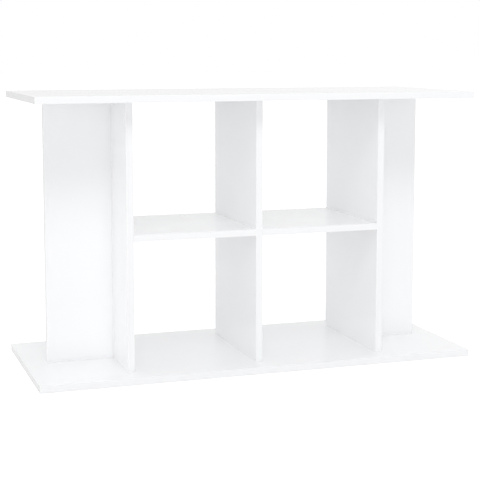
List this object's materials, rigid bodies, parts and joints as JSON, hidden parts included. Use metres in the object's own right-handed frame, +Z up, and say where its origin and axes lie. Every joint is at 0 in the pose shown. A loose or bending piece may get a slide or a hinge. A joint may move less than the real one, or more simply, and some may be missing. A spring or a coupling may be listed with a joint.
{
  "type": "aquarium stand cabinet",
  "caption": "Open white aquarium stand: wide top and base boards joined by uprights, with short shelves and T-shaped ends.",
  "frame": {"origin": "on the floor, under the middle of the base board", "axes": "+X along the stand's length, +Y to the back (its front faces -Y), +Z up"},
  "size_m": [1, 0.4, 0.614],
  "materials": {
    "gloss_white_board": "high gloss white foil on chipboard",
    "gloss_white_edge_band": "gloss white ABS edge band",
    "white_cap": "moulded white plastic",
    "zinc_cam": "die-cast zinc",
    "steel_bolt": "zinc plated steel",
    "steel_screw": "zinc plated steel",
    "beech_dowel": "raw beech"
  },
  "bodies": {
    "root": {"base_board": "gloss_white_board", "base_screw_centre_back": "steel_screw", "base_screw_centre_front": "steel_screw", "base_screw_left_end_inner": "steel_screw", "base_screw_left_end_outer": "steel_screw", "base_screw_left_side_back": "steel_screw", "base_screw_left_side_front": "steel_screw", "base_screw_right_end_inner": "steel_screw", "base_screw_right_end_outer": "steel_screw", "base_screw_right_side_back": "steel_screw", "base_screw_right_side_front": "steel_screw", "centre_divider": "gloss_white_board", "end_dowel_left_lower": "beech_dowel", "end_dowel_left_upper": "beech_dowel", "end_dowel_right_lower": "beech_dowel", "end_dowel_right_upper": "beech_dowel", "left_end_panel": "gloss_white_board", "left_shelf": "gloss_white_board", "left_side_panel": "gloss_white_board", "right_end_panel": "gloss_white_board", "right_shelf": "gloss_white_board", "right_side_panel": "gloss_white_board", "shelf_bolt_left_back": "steel_bolt", "shelf_bolt_left_front": "steel_bolt", "shelf_bolt_right_back": "steel_bolt", "shelf_bolt_right_front": "steel_bolt", "shelf_cam_left_inner_back": "zinc_cam", "shelf_cam_left_inner_front": "zinc_cam", "shelf_cam_left_outer_back": "zinc_cam", "shelf_cam_left_outer_front": "zinc_cam", "shelf_cam_right_inner_back": "zinc_cam", "shelf_cam_right_inner_front": "zinc_cam", "shelf_cam_right_outer_back": "zinc_cam", "shelf_cam_right_outer_front": "zinc_cam", "shelf_link_bolt_back": "steel_bolt", "shelf_link_bolt_front": "steel_bolt", "top_board": "gloss_white_board", "top_bolt_centre_back": "steel_bolt", "top_bolt_centre_front": "steel_bolt", "top_bolt_left_end": "steel_bolt", "top_bolt_left_side_back": "steel_bolt", "top_bolt_left_side_front": "steel_bolt", "top_bolt_right_end": "steel_bolt", "top_bolt_right_side_back": "steel_bolt", "top_bolt_right_side_front": "steel_bolt", "top_cam_centre_back": "zinc_cam", "top_cam_centre_front": "zinc_cam", "top_cam_left_end": "zinc_cam", "top_cam_left_side_back": "zinc_cam", "top_cam_left_side_front": "zinc_cam", "top_cam_right_end": "zinc_cam", "top_cam_right_side_back": "zinc_cam", "top_cam_right_side_front": "zinc_cam", "top_dowel_centre": "beech_dowel", "top_dowel_left_end_inner": "beech_dowel", "top_dowel_left_end_outer": "beech_dowel", "top_dowel_left_side": "beech_dowel", "top_dowel_right_end_inner": "beech_dowel", "top_dowel_right_end_outer": "beech_dowel", "top_dowel_right_side": "beech_dowel"}
  },
  "joints": []
}
